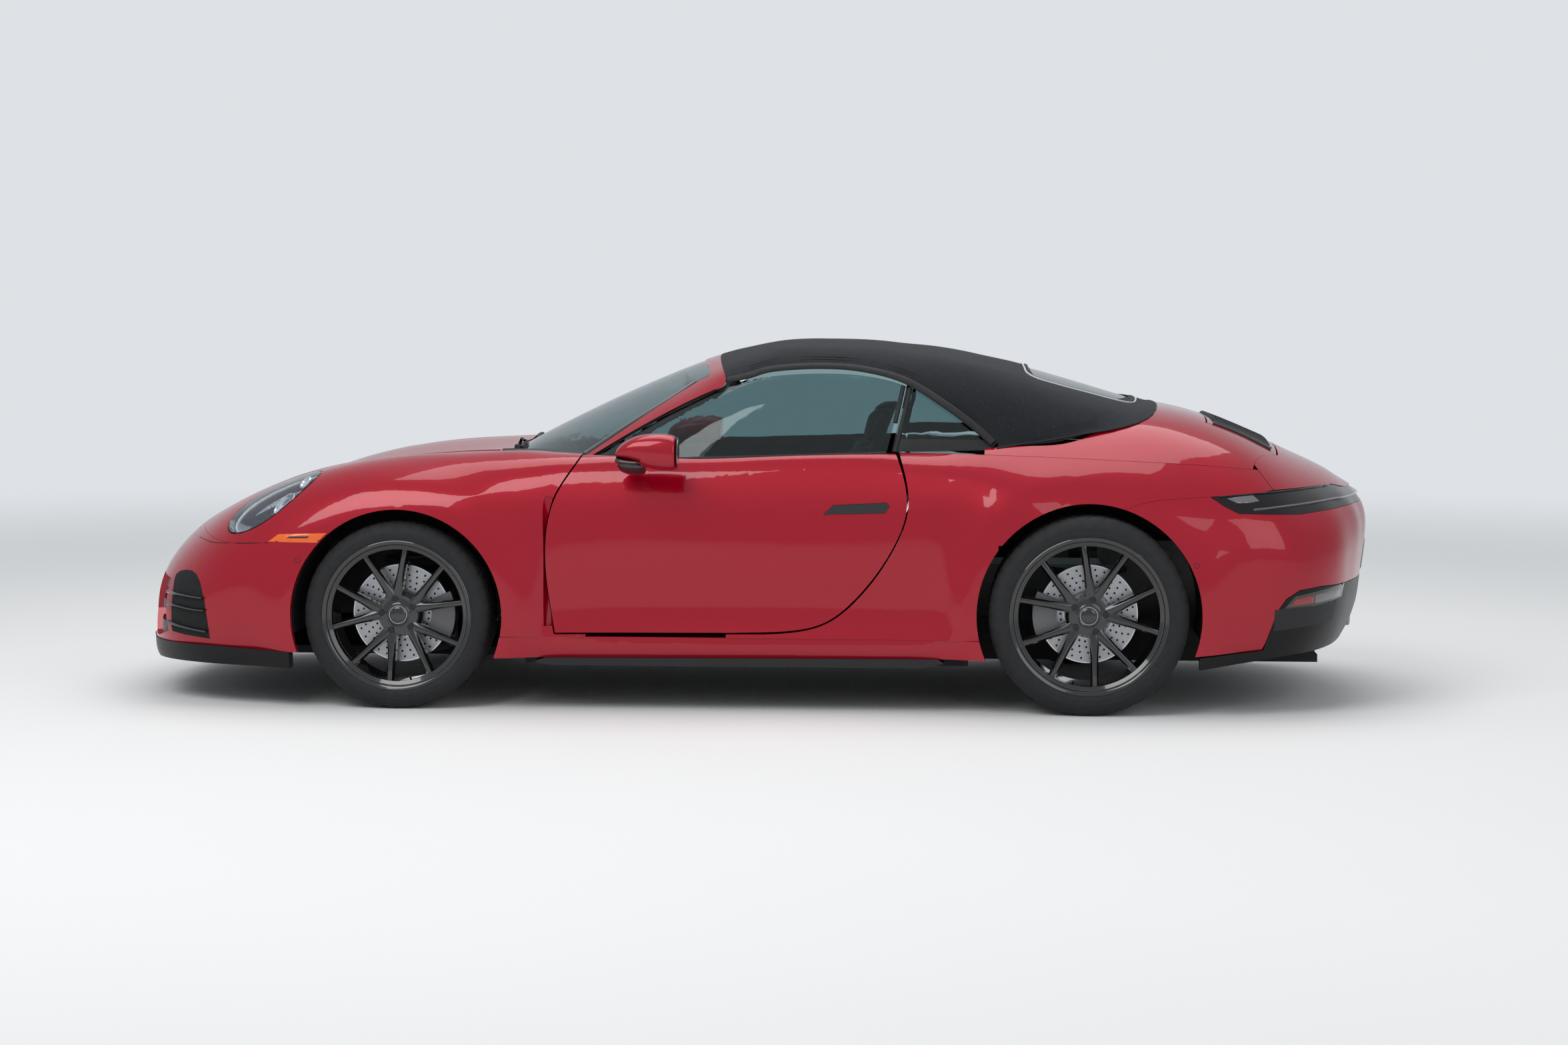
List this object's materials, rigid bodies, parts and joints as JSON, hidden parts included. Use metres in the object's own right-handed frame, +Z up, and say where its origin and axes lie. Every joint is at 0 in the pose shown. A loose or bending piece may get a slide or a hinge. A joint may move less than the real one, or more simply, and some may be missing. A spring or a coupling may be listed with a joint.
{
  "type": "sports convertible car with folding fabric top",
  "caption": "Rear-engined sports convertible with a closed black fabric top, wide rear wings, spoked wheels, opening doors and lids, and steering.",
  "frame": {"origin": "on the ground, at the middle of the length and width", "axes": "+X from the nose to the tail, +Y to the right-hand side, +Z up"},
  "size_m": [4.5444, 2.036, 1.3103],
  "materials": {
    "body_paint": "gloss",
    "top_fabric": "woven",
    "tinted_glass": "tinted",
    "clear_lamp": "clear",
    "red_lamp": "smoked red",
    "black_trim": "gloss",
    "matte_trim": "grained",
    "cabin_trim": "grained",
    "tyre": "matte",
    "rim": "gloss black",
    "disc": "ground",
    "underbody": "satin",
    "bare_metal": "cast",
    "steel": "brushed"
  },
  "bodies": {
    "body": {"cowl": "matte_trim", "dashboard": "cabin_trim", "engine": "bare_metal", "exhaust": "steel", "floor_pan": "underbody", "front_bumper": "body_paint", "front_fender_left": "body_paint", "front_fender_right": "body_paint", "front_grilles": "black_trim", "front_lip": "black_trim", "front_suspension": "bare_metal", "front_trunk": "matte_trim", "headlights": "clear_lamp", "hinge_posts": "underbody", "lid_hinges": "underbody", "quarter_glass": "tinted_glass", "rear_bumper": "body_paint", "rear_diffuser": "black_trim", "rear_hinges": "underbody", "rear_quarter_left": "body_paint", "rear_quarter_right": "body_paint", "rear_suspension": "bare_metal", "rear_window": "tinted_glass", "seats": "cabin_trim", "side_skirts": "black_trim", "soft_top": "top_fabric", "spoiler": "body_paint", "tail_light": "red_lamp", "top_cover": "body_paint", "wheel_liners": "matte_trim", "windshield": "tinted_glass", "windshield_frame": "body_paint"},
    "door_left": {"door_left": "body_paint", "door_glass_left": "tinted_glass", "mirror_left": "body_paint", "door_handle_left": "black_trim"},
    "door_right": {"door_right": "body_paint", "door_glass_right": "tinted_glass", "mirror_right": "body_paint", "door_handle_right": "black_trim"},
    "front_lid": {"front_lid": "body_paint"},
    "engine_lid": {"rear_lid": "body_paint"},
    "steering_wheel": {"steering_wheel": "cabin_trim"},
    "knuckle_left": {"knuckle_left": "bare_metal"},
    "knuckle_right": {"knuckle_right": "bare_metal"},
    "wheel_front_left": {"tyre_front_left": "tyre", "rim_front_left": "rim", "disc_front_left": "disc"},
    "wheel_front_right": {"tyre_front_right": "tyre", "rim_front_right": "rim", "disc_front_right": "disc"},
    "wheel_rear_left": {"tyre_rear_left": "tyre", "rim_rear_left": "rim", "disc_rear_left": "disc"},
    "wheel_rear_right": {"tyre_rear_right": "tyre", "rim_rear_right": "rim", "disc_rear_right": "disc"}
  },
  "joints": [
    {"name": "steer_left", "type": "hinge", "parent": "body", "child": "knuckle_left", "pos_m": [-1.231, -0.728, 0.334], "axis": [0, 0, 1], "range_deg": [-32, 32]},
    {"name": "spin_front_left", "type": "hinge", "parent": "knuckle_left", "child": "wheel_front_left", "pos_m": [-1.231, -0.79, 0.334], "axis": [0, 1, 0], "continuous": true},
    {"name": "spin_rear_left", "type": "hinge", "parent": "body", "child": "wheel_rear_left", "pos_m": [1.219, -0.778, 0.352], "axis": [0, 1, 0], "continuous": true},
    {"name": "door_left_open", "type": "hinge", "parent": "body", "child": "door_left", "pos_m": [-0.691, -0.8735, 0.505], "axis": [0, 0, -1], "range_deg": [0, 65]},
    {"name": "steer_right", "type": "hinge", "parent": "body", "child": "knuckle_right", "pos_m": [-1.231, 0.728, 0.334], "axis": [0, 0, 1], "range_deg": [-32, 32]},
    {"name": "spin_front_right", "type": "hinge", "parent": "knuckle_right", "child": "wheel_front_right", "pos_m": [-1.231, 0.79, 0.334], "axis": [0, 1, 0], "continuous": true},
    {"name": "spin_rear_right", "type": "hinge", "parent": "body", "child": "wheel_rear_right", "pos_m": [1.219, 0.778, 0.352], "axis": [0, 1, 0], "continuous": true},
    {"name": "door_right_open", "type": "hinge", "parent": "body", "child": "door_right", "pos_m": [-0.691, 0.8735, 0.505], "axis": [0, 0, 1], "range_deg": [0, 65]},
    {"name": "steering_wheel_turn", "type": "hinge", "parent": "body", "child": "steering_wheel", "pos_m": [-0.3, -0.37, 0.745], "axis": [0.9205, 0, 0.3907], "range_deg": [-450, 450]},
    {"name": "front_lid_open", "type": "hinge", "parent": "body", "child": "front_lid", "pos_m": [-0.93, 0, 0.89947], "axis": [0, 1, 0], "range_deg": [0, 60]},
    {"name": "engine_lid_open", "type": "hinge", "parent": "body", "child": "engine_lid", "pos_m": [1.73, 0, 0.98895], "axis": [0, -1, 0], "range_deg": [0, 45]}
  ],
  "couplings": [
    {"joint": "steer_right", "follows": "steer_left", "ratio": 1},
    {"joint": "steering_wheel_turn", "follows": "steer_left", "ratio": 14}
  ]
}
